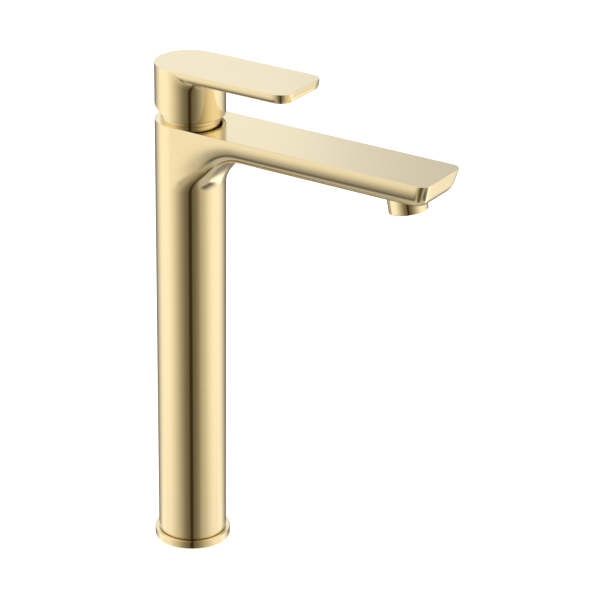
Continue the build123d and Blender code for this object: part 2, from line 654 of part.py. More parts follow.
def index_plug():
    """Small cap over the screw hole at the rear of the handle, shaped to the skirt."""
    stem = rear_bar(PLUG_HOLE_R - STATIC_CLEAR, SKIRT_INNER_R - INDEX_PLUG_IN, COLUMN_R + CUT_OVER)
    return stem & rod(COLUMN_R, SKIRT_Z, LEVER_TOP_Z)


# ==== Aerator ====

def aerator_shell():
    """Polished sleeve screwed over the spigot."""
    shell = rod(AERATOR_R, 0, AERATOR_L)
    shell = chamfer(shell.edges().group_by(Axis.Z)[0], AERATOR_EDGE)
    shell -= rod(SPIGOT_R + STATIC_CLEAR, AERATOR_LIP_H, AERATOR_L)
    return in_aerator_frame(shell - rod(AERATOR_LIP_R, 0, AERATOR_LIP_H))


def aerator_insert():
    """Plastic flow straightener with rings of jets."""
    insert = rod(INSERT_R, AERATOR_LIP_H, SCREEN_Z)
    rows = int((AERATOR_LIP_R - INSERT_HOLE_R) / INSERT_PITCH)
    for row in range(rows + 1):
        jets = max(1, 6 * row)
        far = INSERT_PITCH * row
        for i in range(jets):
            angle = 2 * math.pi * i / jets
            insert -= rod(INSERT_HOLE_R, 0, AERATOR_L, far * math.cos(angle), far * math.sin(angle))
    return in_aerator_frame(insert)


def aerator_screen():
    """Steel dirt screen on top of the insert, as a thin disc with two rows of holes."""
    screen = rod(INSERT_R - STATIC_CLEAR, SCREEN_Z, SCREEN_Z + SCREEN_H)
    for row, far in enumerate(SCREEN_HOLE_ROWS):
        for turn in range(30 * row, 360, 60):
            screen -= Rot(0, 0, turn) * rod(SCREEN_HOLE_R, SCREEN_Z, SCREEN_Z + SCREEN_H, far)
    return in_aerator_frame(screen)


def aerator_washer():
    """Rubber washer between the screen and the spigot."""
    low = SCREEN_Z + SCREEN_H
    return in_aerator_frame(ring(INSERT_R - STATIC_CLEAR, SPIGOT_BORE_R, low, low + WASHER_H))


# ==== All nodes ====

def build_nodes():
    """Every separate piece under the name of its node."""
    hot, cold = SUPPLY_LINES
    return {
        "faucet_body": faucet_body(),
        "base_ring": base_ring(),
        "base_gasket": base_gasket(),
        "base_plug": base_plug(),
        "supply_tube_hot": supply_tube(hot),
        "supply_tube_cold": supply_tube(cold),
        "tube_o_rings": tube_o_rings(),
        "cartridge_base": cartridge_base(),
        "inlet_seals": inlet_seals(),
        "fixed_disc": fixed_disc(),
        "cartridge_housing": cartridge_housing(),
        "housing_o_ring": housing_o_ring(),
        "cartridge_nut": cartridge_nut(),
        "hot_limit_ring": hot_limit_ring(),
        "neck_ring": neck_ring(),
        "cartridge_guide": cartridge_guide(),
        "moving_disc": moving_disc(),
        "disc_seal": disc_seal(),
        "disc_carrier": disc_carrier(),
        "lever_stem": lever_stem(),
        "pivot_pin": pivot_pin(),
        "handle": handle(),
        "set_screw": set_screw(),
        "index_plug": index_plug(),
        "aerator_shell": aerator_shell(),
        "aerator_insert": aerator_insert(),
        "aerator_screen": aerator_screen(),
        "aerator_washer": aerator_washer(),
    }


def main():
    os.makedirs("parts", exist_ok=True)
    for name, shape in build_nodes().items():
        export_step(shape, f"parts/{name}.step")


if __name__ == "__main__":
    main()
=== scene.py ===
"""Finish of a tall single-lever basin mixer: its visible pieces, their metals, and a pale studio.

The script is laid out as an add-on and run as a script. Sizes are in metres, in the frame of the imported
model: the axis of the column is Z, the spout runs along +X, and the deck is at z = 0.
"""

import json
import math

import bmesh
import bpy
from bpy.props import FloatProperty, FloatVectorProperty, PointerProperty
from mathutils import Matrix, Vector


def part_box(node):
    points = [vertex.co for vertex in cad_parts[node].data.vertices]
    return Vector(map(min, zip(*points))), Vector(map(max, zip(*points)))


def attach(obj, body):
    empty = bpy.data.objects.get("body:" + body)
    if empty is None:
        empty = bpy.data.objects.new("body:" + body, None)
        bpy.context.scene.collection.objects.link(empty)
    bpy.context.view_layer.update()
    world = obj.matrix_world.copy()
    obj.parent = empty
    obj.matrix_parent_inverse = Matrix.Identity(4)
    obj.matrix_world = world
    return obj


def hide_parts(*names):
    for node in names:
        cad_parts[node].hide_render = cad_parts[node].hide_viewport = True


bl_info = {
    "name": "Basin mixer finish",
    "version": (1, 0, 0),
    "blender": (4, 5, 0),
    "location": "View3D > Sidebar > Mixer",
    "description": "Models the visible pieces of a basin mixer on its packed frame and finishes them",
    "category": "Object",
}

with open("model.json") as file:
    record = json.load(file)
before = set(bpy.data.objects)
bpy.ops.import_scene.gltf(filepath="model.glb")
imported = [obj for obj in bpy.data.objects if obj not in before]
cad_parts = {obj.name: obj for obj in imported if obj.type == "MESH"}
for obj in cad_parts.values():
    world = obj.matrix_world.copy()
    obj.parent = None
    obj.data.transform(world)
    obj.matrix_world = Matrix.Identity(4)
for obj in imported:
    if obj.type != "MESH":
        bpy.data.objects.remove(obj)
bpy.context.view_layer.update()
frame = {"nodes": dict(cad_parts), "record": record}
BODY_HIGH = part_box("faucet_body")[1]
HANDLE_LOW, HANDLE_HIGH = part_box("handle")
RING_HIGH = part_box("base_ring")[1]
NECK_LOW, NECK_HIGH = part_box("neck_ring")

MM = 0.001
SEAM = 1e-6                     # points nearer than this are one point
CREASE = math.radians(32)       # edges that turn more than this stay sharp

# ---- Body casting ----
COLUMN_R = BODY_HIGH.y
TOP_Z = BODY_HIGH.z
FOOT_GAP = 0.5 * MM             # between base ring and column
COLUMN_FOOT_Z = RING_HIGH.z + FOOT_GAP
SPOUT_REACH = BODY_HIGH.x
SPOUT_DEPTH = 17.2 * MM
SIDE_LEAN = 0.12                # inward, per unit of depth
SIDE_EDGE_R = 8.5 * MM
TIP_LEAN = 0.25
TIP_EDGE_R = 7.0 * MM
TIP_CORNER_R = 6.5 * MM
TIP_START_X = SPOUT_REACH - 26.6 * MM
SECTION_CHANGE = 16             # how late the spout's section gives way to the round one in the blend
LEAN_CHANGE = math.radians(35)  # turn over which the lean of the side comes in, from the column
RECESS_R = 13.2 * MM            # room for the aerator's sleeve
RECESS_GAP = 0.3 * MM           # over the sleeve's top
BORE_STEPS = ((19.0 * MM, -6.0 * MM), (17.7 * MM, -26.5 * MM))      # radius, floor below the top
FOOT_STEPS = (                  # radius and height of each corner inside the foot
    (22.3 * MM, COLUMN_FOOT_Z), (22.3 * MM, 1.5 * MM), (19.5 * MM, 1.5 * MM),
    (19.5 * MM, 20.0 * MM), (20.5 * MM, 20.0 * MM), (20.5 * MM, 262.0 * MM),
)

# ---- Handle ----
LEVER_TOP_Z = HANDLE_HIGH.z
LEVER_H = 6.4 * MM
LEVER_REACH = HANDLE_HIGH.x
LEVER_CORNER_R = 8.5 * MM
LEVER_LOWER_WIDE, LEVER_LOWER_HIGH = 1.6 * MM, 6.0 * MM      # bellied side
SKIRT_Z = HANDLE_LOW.z
SKIRT_INNER_R = 21.3 * MM
SKIRT_RELIEF = math.radians(21.8)
SKIRT_CEILING_Z = 334.0 * MM
SKIRT_EDGE_R = 0.3 * MM
BOSS_R = 9.5 * MM
BOSS_Z = 325.0 * MM
SCREW_Z = 330.0 * MM
SCREW_HOLE_R = 3.0 * MM
SCREW_PLUG_L = 6.0 * MM         # length of the plug that cuts the hole
SCREW_PLUG_IN = 0.3 * MM        # its middle lies this far inside the skirt's outside
ROOT_WIDE, ROOT_HIGH = 3.6 * MM, 6.5 * MM        # hollow between skirt and lever, at the side
ROOT_END = 0.8 * MM             # the same under the middle of the lever
ROOT_SHARE = 0.75               # the hollow takes at most this share of the room beside the skirt
ROOT_FADE = 42.0                # degrees round from the side, where it starts to narrow
ROOT_FADE_SPAN = 33.0           # degrees over which it does

# ---- Base ring ----
RING_BORE_R = 22.5 * MM
RING_LIP_R, RING_LIP_H = 20.3 * MM, 1.5 * MM
GASKET_IN_R, GASKET_OUT_R, GASKET_H = 23.3 * MM, 25.3 * MM, 1.2 * MM
RING_CORNER = 0.2 * MM          # small bevels at the foot and at the bore

# ---- Neck ring and aerator ----
PIVOT_Z = 315.0 * MM
NECK_R = NECK_HIGH.y
NECK_BALL_R = 20.7 * MM
NECK_MOUTH_R = 15.8 * MM
NECK_BORE_R = 16.9 * MM
NECK_LIP_H = 2.0 * MM
NECK_CORNER = 0.15 * MM
AERATOR_AT = Vector((166.9 * MM, 0.0, 282.0 * MM))
AERATOR_TILT = math.radians(11.4)
AERATOR_R = 12.7 * MM
AERATOR_L = 11.5 * MM
AERATOR_LIP_R = 9.4 * MM
AERATOR_LIP_H = 1.2 * MM
AERATOR_BORE_R = 11.0 * MM
AERATOR_EDGE_R = 0.6 * MM
AERATOR_LIP_CORNER, AERATOR_TOP_CORNER = 0.15 * MM, 0.2 * MM
SPIGOT_R = 10.9 * MM
SPIGOT_BORE_R = 8.5 * MM
SPIGOT_SPAN = (6.4 * MM, 12.1 * MM)              # lower and upper end along the aerator's axis
SPIGOT_CORNER = 0.3 * MM

# ---- Index cap, along the axis of the screw hole from the skirt's outside ----
CAP_R = 2.9 * MM
CAP_INNER = -2.2 * MM
CAP_RIM = 0.25 * MM
CAP_CORNER = 0.15 * MM
CAP_DOME_H = 0.5 * MM
CAP_DOME = ((0.6, 0.3), (0.3, 0.42), (0.0, 0.45))        # shares of the radius and of the dome's height

# ---- How finely the meshes are divided ----
FOOT_SPANS = 12                 # straight column
SPOUT_SPANS = 24                # straight spout
FLAT_SPANS = 6                  # half the flat underside
ROUND_SPANS = 14                # lower rounded edge
WALL_SPANS = 5
RIM_SPANS = 4
FRONT_SPANS = 26                # blend, column side
TOP_SPANS = 30                  # blend, spout side
REAR_SPANS = 56                 # half round of the column
CORNER_SPANS = 10               # each corner of the spout's tip
TIP_RUN_SPANS = 3               # each side of the tip
TIP_END_SPANS = 6               # end face of the tip
TURN_SPANS = 128                # full turn of a ring
HOLE_SPANS = 48                 # full turn of the screw hole

RING_AXIS = Vector((0.0, 0.0, 1.0))


# ==== Settings ====

class MixerShape(bpy.types.PropertyGroup):
    """Small shapes of the visible pieces."""
    blend_r: FloatProperty(
        name="Hollow under spout", description="Radius of the hollow curve where spout and column meet",
        default=28.0 * MM, min=10.0 * MM, max=40.0 * MM, unit="LENGTH")
    body_rim_r: FloatProperty(
        name="Body rim", description="Rounding of the edge round the flat top of column and spout",
        default=0.3 * MM, min=0.05 * MM, max=1.0 * MM, unit="LENGTH")
    lever_rim_r: FloatProperty(
        name="Lever rim", description="Rounding of the edge round the lever's top",
        default=0.35 * MM, min=0.05 * MM, max=1.0 * MM, unit="LENGTH")
    ring_edge_r: FloatProperty(
        name="Ring edge", description="Rounding of the base ring's upper edge",
        default=0.5 * MM, min=0.1 * MM, max=1.5 * MM, unit="LENGTH")


class MixerFinish(bpy.types.PropertyGroup):
    """Colours and polish of the plated metal."""
    gold: FloatVectorProperty(
        name="Gold", description="Colour of the champagne gold plating",
        default=(0.88, 0.76, 0.52), min=0.0, max=1.0, size=3, subtype="COLOR")
    brushed_roughness: FloatProperty(
        name="Brushed roughness", description="Roughness of the brushed column and sides",
        default=0.11, min=0.0, max=1.0, subtype="FACTOR")
    polished_roughness: FloatProperty(
        name="Polished roughness", description="Roughness of rings and sleeve",
        default=0.06, min=0.0, max=1.0, subtype="FACTOR")
    brush_depth: FloatProperty(
        name="Brush depth", description="Height of the brushing lines",
        default=0.0006 * MM, min=0.0, max=0.05 * MM, unit="LENGTH")


class MixerStudio(bpy.types.PropertyGroup):
    """Soft light round the mixer."""
    strength: FloatProperty(
        name="Light", description="Strength of the soft light from all round",
        default=1.0, min=0.0, max=5.0)
    floor_side: FloatProperty(
        name="Floor", description="Side of the pale floor",
        default=6.0, min=0.5, max=20.0, unit="LENGTH")


# ==== Mesh helpers ====

def patch(bm, columns, rows, place):
    """Grid of faces whose point (column, row) is moved to place(column, row)."""
    made = bmesh.ops.create_grid(bm, x_segments=columns, y_segments=rows, size=1.0)
    for vert in made["verts"]:
        column = round((vert.co.x + 1) / 2 * columns)
        row = round((vert.co.y + 1) / 2 * rows)
        vert.co = place(column, row)


def open_loops(bm, low_z=-math.inf, high_z=math.inf):
    """Boundary edges that lie between two heights."""
    return [e for e in bm.edges if e.is_boundary and all(low_z <= v.co.z <= high_z for v in e.verts)]


def step_in(bm, edges, radius, height):
    """Extrudes a round loop to a new radius and height about the column's axis, and returns the new loop."""
    made = bmesh.ops.extrude_edge_only(bm, edges=edges)["geom"]
    for vert in (g for g in made if isinstance(g, bmesh.types.BMVert)):
        flat = Vector((vert.co.x, vert.co.y, 0.0)).normalized() * radius
        vert.co = (flat.x, flat.y, height)
    return [g for g in made if isinstance(g, bmesh.types.BMEdge) and g.is_boundary]


def weld(bm):
    """Merges the seams between patches."""
    bmesh.ops.remove_doubles(bm, verts=bm.verts, dist=SEAM)
    bmesh.ops.dissolve_degenerate(bm, edges=bm.edges, dist=SEAM)


def close_up(bm):
    """Merges the seams and turns all faces outwards."""
    weld(bm)
    bmesh.ops.recalc_face_normals(bm, faces=bm.faces)


def new_object(bm, name):
    """Makes an object of a bmesh and links it to the scene."""
    mesh = bpy.data.meshes.new(name)
    bm.to_mesh(mesh)
    bm.free()
    made = bpy.data.objects.new(name, mesh)
    bpy.context.scene.collection.objects.link(made)
    return made


def finish_piece(bm, name):
    """Makes an object of a bmesh, smooth except where it turns sharply, with flat faces kept flat."""
    piece = new_object(bm, name)
    piece.data.shade_smooth()
    piece.data.set_sharp_from_angle(angle=CREASE)
    even = piece.modifiers.new("even_shading", "WEIGHTED_NORMAL")
    even.keep_sharp = True
    return piece


def arc_points(centre, radius, start, end, spans):
    """Points (radius, height) of an arc in a ring's profile, angles in degrees."""
    turns = [math.radians(start + (end - start) * i / spans) for i in range(spans + 1)]
    return [(centre[0] + radius * math.cos(t), centre[1] + radius * math.sin(t)) for t in turns]


def turned_ring(profile, name, place=Matrix.Identity(4)):
    """Spins a closed profile of (radius, height) points about its axis."""
    bm = bmesh.new()
    points = [bm.verts.new((r, 0.0, z)) for r, z in profile]
    pairs = [(a, b) for a, b in zip(points, points[1:] + points[:1]) if max(a.co.x, b.co.x) > SEAM]
    edges = [bm.edges.new(pair) for pair in pairs]
    bmesh.ops.spin(bm, geom=points + edges, axis=RING_AXIS, cent=(0, 0, 0), angle=2 * math.pi,
                   steps=TURN_SPANS, use_merge=True, use_duplicate=False)
    bmesh.ops.transform(bm, matrix=place, verts=bm.verts)
    close_up(bm)
    return finish_piece(bm, name)


def rim_inset(depth, rim_r):
    """How far a rounded rim stands back from the wall at a depth below its top."""
    rest = max(0.0, rim_r - depth)
    return rim_r - math.sqrt(max(0.0, rim_r ** 2 - rest ** 2))


# ==== Body casting ====

def side_profile(index):
    """Height over the underside and unleaned half width of the spout at one point of its half section."""
    if index <= FLAT_SPANS:
        return 0.0, (COLUMN_R - SIDE_EDGE_R) * index / FLAT_SPANS
    turn = math.pi / 2 * min(1.0, (index - FLAT_SPANS) / ROUND_SPANS)
    return SIDE_EDGE_R * (1 - math.cos(turn)), COLUMN_R - SIDE_EDGE_R * (1 - math.sin(turn))


def round_profile(index):
    """The same for the column, whose half section is a quarter circle."""
    flat_turn = math.asin((COLUMN_R - SIDE_EDGE_R) / COLUMN_R)
    if index <= FLAT_SPANS:
        turn = math.asin(side_profile(index)[1] / COLUMN_R)
    else:
        turn = flat_turn + (math.pi / 2 - flat_turn) * min(1.0, (index - FLAT_SPANS) / ROUND_SPANS)
    return COLUMN_R * (1 - math.cos(turn)), COLUMN_R * math.sin(turn)


PROFILE_END = FLAT_SPANS + ROUND_SPANS
WALL_END = PROFILE_END + WALL_SPANS
HALF_SPANS = WALL_END + RIM_SPANS
TIP_SPANS = 2 * (TIP_RUN_SPANS + CORNER_SPANS) + TIP_END_SPANS


def swelling(depth, full):
    """How far down the side, reshaped so that the side starts upright and leans most at half depth."""
    part = max(0.0, min(1.0, depth / full))
    bent = 2 * part ** 2 if part < 0.5 else 1 - 2 * (1 - part) ** 2
    return full * bent


def smooth_step(x):
    """0 to 1 with level ends."""
    x = max(0.0, min(1.0, x))
    return x * x * (3 - 2 * x)


class BodySkin:
    """Outer skin of column and spout, as half sections from the foot up and out to the spout."""

    def __init__(self, blend_r, rim_r):
        self.blend_r = blend_r
        self.rim_r = rim_r
        self.axis = Vector((COLUMN_R + blend_r, 0.0, TOP_Z - SPOUT_DEPTH - blend_r))
        self.rise = TOP_Z - self.axis.z
        self.corner_turn = math.atan2(self.axis.x, self.rise)
        span = (self.axis.z - COLUMN_FOOT_Z) / FOOT_SPANS
        self.column_heights = [COLUMN_FOOT_Z + span * i for i in range(FOOT_SPANS)]
        rim_depths = [rim_r * (1 - math.sin(math.pi / 2 * i / RIM_SPANS)) for i in range(RIM_SPANS + 1)]
        rim_turns = [math.atan2(self.axis.x, self.rise - d) for d in rim_depths]
        right = math.pi / 2
        self.turns = [right + (rim_turns[0] - right) * i / FRONT_SPANS for i in range(FRONT_SPANS)]
        self.turns += rim_turns
        self.turns += [self.corner_turn * (1 - i / TOP_SPANS) for i in range(1, TOP_SPANS + 1)]
        run = TIP_START_X - self.axis.x
        self.spout_places = [self.axis.x + run * i / SPOUT_SPANS for i in range(1, SPOUT_SPANS + 1)]
        self.stations = len(self.column_heights) + len(self.turns) + len(self.spout_places) - 1

    def on_column(self, height, index):
        """Point of the half section round the column's front."""
        back, wide = round_profile(min(index, PROFILE_END))
        return Vector((COLUMN_R - back, -wide, height))

    def on_blend(self, turn, index):
        """Point of the half section turned about the blend's axis, from the spout (0) to the column."""
        share = math.sin(turn) ** SECTION_CHANGE
        to_top = self.rise / max(math.cos(turn), SEAM)
        to_axis = self.axis.x / max(math.sin(turn), SEAM)
        limit = min(to_top, to_axis) - self.blend_r
        spout_h, spout_w = side_profile(min(index, PROFILE_END))
        column_h, column_w = round_profile(min(index, PROFILE_END))
        height = spout_h + share * (column_h - spout_h)
        wide = spout_w + share * (column_w - spout_w)
        rim = min(self.rim_r / max(math.cos(turn), math.sin(turn)), max(0.0, limit - height) / 2)
        if PROFILE_END < index <= WALL_END:
            height += (limit - rim - height) * (index - PROFILE_END) / WALL_SPANS
        elif index > WALL_END:
            height = limit - rim * (1 - math.sin(math.pi / 2 * (index - WALL_END) / RIM_SPANS))
        height = min(height, limit)
        lean = SIDE_LEAN * smooth_step((math.pi / 2 - turn) / LEAN_CHANGE)
        reach = self.blend_r + height
        point = self.axis + Vector((-math.sin(turn), 0.0, math.cos(turn))) * reach
        full = SPOUT_DEPTH + (COLUMN_R - SPOUT_DEPTH) * smooth_step(turn / (math.pi / 2))
        wide -= lean * swelling(full - height, full) + rim_inset(TOP_Z - point.z, self.rim_r)
        return Vector((point.x, -wide, point.z))

    def on_spout(self, place, index):
        """Point of the half section of the straight spout."""
        point = self.on_blend(0.0, index)
        return Vector((place, point.y, point.z))

    def half_section(self, station, index):
        """Point of one station's half section on the -Y side."""
        if station < len(self.column_heights):
            return self.on_column(self.column_heights[station], index)
        station -= len(self.column_heights)
        if station < len(self.turns):
            return self.on_blend(self.turns[station], index)
        return self.on_spout(self.spout_places[station - len(self.turns)], index)

    def front_point(self, station, across):
        """Point of a whole section, from the -Y edge over the underside to the +Y edge."""
        index = abs(across - HALF_SPANS)
        point = self.half_section(station, index)
        return point if across <= HALF_SPANS else Vector((point.x, -point.y, point.z))

    def rear_point(self, row, step):
        """Point of the column's rear half, in rows that meet the front half."""
        edge = self.half_section(row, HALF_SPANS)
        turn = -math.pi / 2 - math.pi * step / REAR_SPANS
        return Vector((-edge.y * math.cos(turn), -edge.y * math.sin(turn), edge.z))

    def rear_rows(self):
        """Number of rows up to the column's top edge."""
        return len(self.column_heights) + FRONT_SPANS + RIM_SPANS

    def tip_point(self, step, level):
        """Point of the spout's end: along its level outline, up from the underside."""
        edge = self.on_blend(0.0, FLAT_SPANS + level)
        depth = TOP_Z - edge.z
        past = max(0.0, depth - (SPOUT_DEPTH - TIP_EDGE_R))
        inset = TIP_LEAN * depth + TIP_EDGE_R - math.sqrt(max(0.0, TIP_EDGE_R ** 2 - past ** 2))
        reach = SPOUT_REACH - inset - rim_inset(depth, self.rim_r)
        half = -edge.y
        turn_x = reach - TIP_CORNER_R
        turn_y = half - TIP_CORNER_R
        side = -1 if step <= TIP_SPANS / 2 else 1
        step = min(step, TIP_SPANS - step)
        if step <= TIP_RUN_SPANS:
            place = (TIP_START_X + (turn_x - TIP_START_X) * step / TIP_RUN_SPANS, half)
        elif step <= TIP_RUN_SPANS + CORNER_SPANS:
            turn = math.pi / 2 * (1 - (step - TIP_RUN_SPANS) / CORNER_SPANS)
            place = (turn_x + TIP_CORNER_R * math.cos(turn), turn_y + TIP_CORNER_R * math.sin(turn))
        else:
            place = (reach, turn_y * (1 - (step - TIP_RUN_SPANS - CORNER_SPANS) / (TIP_END_SPANS / 2)))
        return Vector((place[0], side * place[1], edge.z))


def aerator_place():
    """Matrix that puts a piece turned about Z onto the leaning axis of the aerator."""
    return Matrix.Translation(AERATOR_AT) @ Matrix.Rotation(-AERATOR_TILT, 4, "Y")


def cut_round(piece, radius, length, place, spans):
    """Cuts a round plug out of a piece for good."""
    bm = bmesh.new()
    bmesh.ops.create_cone(bm, cap_ends=True, segments=spans, radius1=radius, radius2=radius, depth=length,
                          matrix=place)
    cutter = new_object(bm, "cutter")
    cut = piece.modifiers.new("cut", "BOOLEAN")
    cut.operation = "DIFFERENCE"
    cut.solver = "MANIFOLD"
    cut.object = cutter
    piece.modifiers.move(len(piece.modifiers) - 1, 0)
    with bpy.context.temp_override(object=piece, active_object=piece, selected_objects=[piece]):
        bpy.ops.object.modifier_apply(modifier=cut.name)
    piece.data.materials.clear()
    shape = cutter.data
    bpy.data.objects.remove(cutter)
    bpy.data.meshes.remove(shape)


class MIXER_OT_body(bpy.types.Operator):
    """Model the casting of column and spout"""
    bl_idname = "mixer.body"
    bl_label = "Body casting"

    def execute(self, context):
        shape = context.scene.mixer_shape
        skin = BodySkin(shape.blend_r, shape.body_rim_r)
        bm = bmesh.new()
        patch(bm, skin.stations, 2 * HALF_SPANS, skin.front_point)
        patch(bm, skin.rear_rows(), REAR_SPANS, skin.rear_point)
        patch(bm, TIP_SPANS, HALF_SPANS - FLAT_SPANS, skin.tip_point)
        weld(bm)
        underside_z = TOP_Z - SPOUT_DEPTH
        bmesh.ops.contextual_create(bm, geom=open_loops(bm, underside_z - SEAM, underside_z + SEAM))
        foot = open_loops(bm, high_z=COLUMN_FOOT_Z + SEAM)
        for radius, height in FOOT_STEPS:
            foot = step_in(bm, foot, radius, height)
        bmesh.ops.contextual_create(bm, geom=foot)
        outline = open_loops(bm, low_z=TOP_Z - SEAM)
        bore = bmesh.ops.create_circle(bm, segments=TURN_SPANS, radius=BORE_STEPS[0][0],
                                       matrix=Matrix.Translation((0, 0, TOP_Z)))
        mouth = list({e for v in bore["verts"] for e in v.link_edges})
        bmesh.ops.triangle_fill(bm, edges=outline + mouth, use_beauty=True, use_dissolve=False)
        loop = mouth
        high = TOP_Z
        for radius, floor in BORE_STEPS:
            loop = step_in(bm, loop, radius, high)
            loop = step_in(bm, loop, radius, TOP_Z + floor)
            high = TOP_Z + floor
        bmesh.ops.contextual_create(bm, geom=loop)
        close_up(bm)
        piece = finish_piece(bm, "body_casting")
        recess = aerator_place() @ Matrix.Translation((0, 0, RECESS_GAP))
        cut_round(piece, RECESS_R, 2 * AERATOR_L, recess, TURN_SPANS)
        dress(piece, "gold_brushed", "root", "faucet_body")
        return {"FINISHED"}


# ==== Handle ====

LEVER_HALF = COLUMN_R
LOWER_Z = LEVER_TOP_Z - LEVER_H
SIDE_RUN = LEVER_REACH - LEVER_CORNER_R
CORNER_RUN = LEVER_CORNER_R * math.pi / 2
END_RUN = LEVER_HALF - LEVER_CORNER_R
LEVER_RUN = SIDE_RUN + CORNER_RUN + END_RUN


def lever_edge(run, inset):
    """Point of the lever's outline on its -Y side, set inwards, at a distance along it from the axis."""
    if run <= SIDE_RUN:
        return Vector((run, -LEVER_HALF + inset, 0.0))
    if run <= SIDE_RUN + CORNER_RUN:
        turn = (run - SIDE_RUN) / LEVER_CORNER_R
        out = LEVER_CORNER_R - inset
        return Vector((SIDE_RUN + out * math.sin(turn), -END_RUN - out * math.cos(turn), 0.0))
    return Vector((LEVER_REACH - inset, -END_RUN + run - SIDE_RUN - CORNER_RUN, 0.0))


HANDLE_ROUND = 14               # spans of the lever's lower edge
HANDLE_UNDER = 7                # spans of its underside
HANDLE_FILLET = 8
HANDLE_WALL = 8
HANDLE_COLUMNS = 60             # spans of a quarter turn
RIM_ROWS = RIM_SPANS
ROUND_ROWS = RIM_ROWS + 1 + HANDLE_ROUND
UNDER_ROWS = ROUND_ROWS + HANDLE_UNDER
FILLET_ROWS = UNDER_ROWS + HANDLE_FILLET
OUTER_ROWS = FILLET_ROWS + HANDLE_WALL


def skirt_floor(x):
    """Height of the skirt's lower edge, which rises to the rear."""
    return SKIRT_Z + max(0.0, -x) * math.tan(SKIRT_RELIEF)


def handle_front(column, row, rim_r):
    """Point of the handle's front -Y quarter, in rows from the rim down to the skirt's edge."""
    turn = math.pi / 2 * column / HANDLE_COLUMNS
    spread = (column / HANDLE_COLUMNS) ** 3
    run = LEVER_HALF * math.sin(turn) + (LEVER_RUN - LEVER_HALF) * spread
    foot = Vector((math.sin(turn), -math.cos(turn), 0.0))
    if row <= RIM_ROWS:
        depth = rim_r * (1 - math.cos(math.pi / 2 * row / RIM_ROWS))
        return lever_edge(run, rim_inset(depth, rim_r)) + Vector((0, 0, LEVER_TOP_Z - depth))
    room = LEVER_HALF - LEVER_HALF * math.cos(turn)
    fade = smooth_step((math.degrees(turn) - ROOT_FADE) / ROOT_FADE_SPAN)
    fillet = min(ROOT_SHARE * room, ROOT_WIDE + (ROOT_END - ROOT_WIDE) * fade)
    hollow = ROOT_HIGH + (ROOT_END - ROOT_HIGH) * fade
    free = max(0.0, room - fillet)
    turn_end = math.acos(max(0.0, 1 - free / LEVER_LOWER_WIDE))
    if row <= ROUND_ROWS:
        angle = turn_end * (row - RIM_ROWS - 1) / HANDLE_ROUND
        inset = LEVER_LOWER_WIDE * (1 - math.cos(angle))
        return lever_edge(run, inset) + Vector((0, 0, LOWER_Z + LEVER_LOWER_HIGH * (1 - math.sin(angle))))
    under_z = LOWER_Z + LEVER_LOWER_HIGH * (1 - math.sin(turn_end))
    start = lever_edge(run, LEVER_LOWER_WIDE * (1 - math.cos(turn_end)))
    end = foot * (LEVER_HALF + fillet)
    if row <= UNDER_ROWS:
        place = start.lerp(end, (row - ROUND_ROWS) / HANDLE_UNDER)
        return place + Vector((0, 0, under_z))
    if row <= FILLET_ROWS:
        angle = math.pi / 2 * (row - UNDER_ROWS) / HANDLE_FILLET
        place = foot * (LEVER_HALF + fillet * (1 - math.sin(angle)))
        return place + Vector((0, 0, under_z - hollow * (1 - math.cos(angle))))
    top = under_z - hollow
    place = foot * LEVER_HALF
    part = (row - FILLET_ROWS) / HANDLE_WALL
    return place + Vector((0, 0, top + (skirt_floor(place.x) + SKIRT_EDGE_R - top) * part))


def handle_rear(column, row, rim_r):
    """Point of the handle's outside on its rear -Y quarter, in the same rows."""
    edge = handle_front(0, row, rim_r)
    turn = -math.pi / 2 - math.pi / 2 * column / HANDLE_COLUMNS
    place = Vector((-edge.y * math.cos(turn), -edge.y * math.sin(turn), edge.z))
    if row > FILLET_ROWS:
        top = LOWER_Z + LEVER_LOWER_HIGH - ROOT_HIGH
        part = (row - FILLET_ROWS) / HANDLE_WALL
        place.z = top + (skirt_floor(place.x) + SKIRT_EDGE_R - top) * part
    return place


def screw_place(depth, turn):
    """Matrix that puts a piece turned about Z on the screw's axis, this far inside the skirt's outside."""
    return Matrix.Translation((-COLUMN_R + depth, 0.0, SCREW_Z)) @ Matrix.Rotation(turn, 4, "Y")


class MIXER_OT_handle(bpy.types.Operator):
    """Model the flat lever and its round skirt"""
    bl_idname = "mixer.handle"
    bl_label = "Lever handle"

    def execute(self, context):
        rim_r = context.scene.mixer_shape.lever_rim_r
        bm = bmesh.new()
        patch(bm, HANDLE_COLUMNS, OUTER_ROWS, lambda c, r: handle_front(c, r, rim_r))
        patch(bm, HANDLE_COLUMNS, OUTER_ROWS, lambda c, r: handle_rear(c, r, rim_r))
        bmesh.ops.mirror(bm, geom=bm.verts[:] + bm.edges[:] + bm.faces[:], axis="Y", merge_dist=SEAM)
        weld(bm)
        bmesh.ops.contextual_create(bm, geom=open_loops(bm, low_z=LEVER_TOP_Z - SEAM))
        loop = open_loops(bm, high_z=LOWER_Z)
        for radius, lift in ((COLUMN_R - SKIRT_EDGE_R, 0.0), (SKIRT_INNER_R + SKIRT_EDGE_R, 0.0),
                             (SKIRT_INNER_R, SKIRT_EDGE_R)):
            loop = step_in(bm, loop, radius, 0.0)
            for vert in {v for e in loop for v in e.verts}:
                vert.co.z = skirt_floor(vert.co.x) + lift
        for radius, height in ((SKIRT_INNER_R, SKIRT_CEILING_Z), (BOSS_R, SKIRT_CEILING_Z),
                               (BOSS_R, BOSS_Z)):
            loop = step_in(bm, loop, radius, height)
        bmesh.ops.contextual_create(bm, geom=loop)
        close_up(bm)
        piece = finish_piece(bm, "lever_handle")
        cut_round(piece, SCREW_HOLE_R, SCREW_PLUG_L, screw_place(SCREW_PLUG_IN, math.pi / 2), HOLE_SPANS)
        dress(piece, "gold_brushed", "lever", "handle")
        return {"FINISHED"}


# ==== Rings, cap and sleeve ====

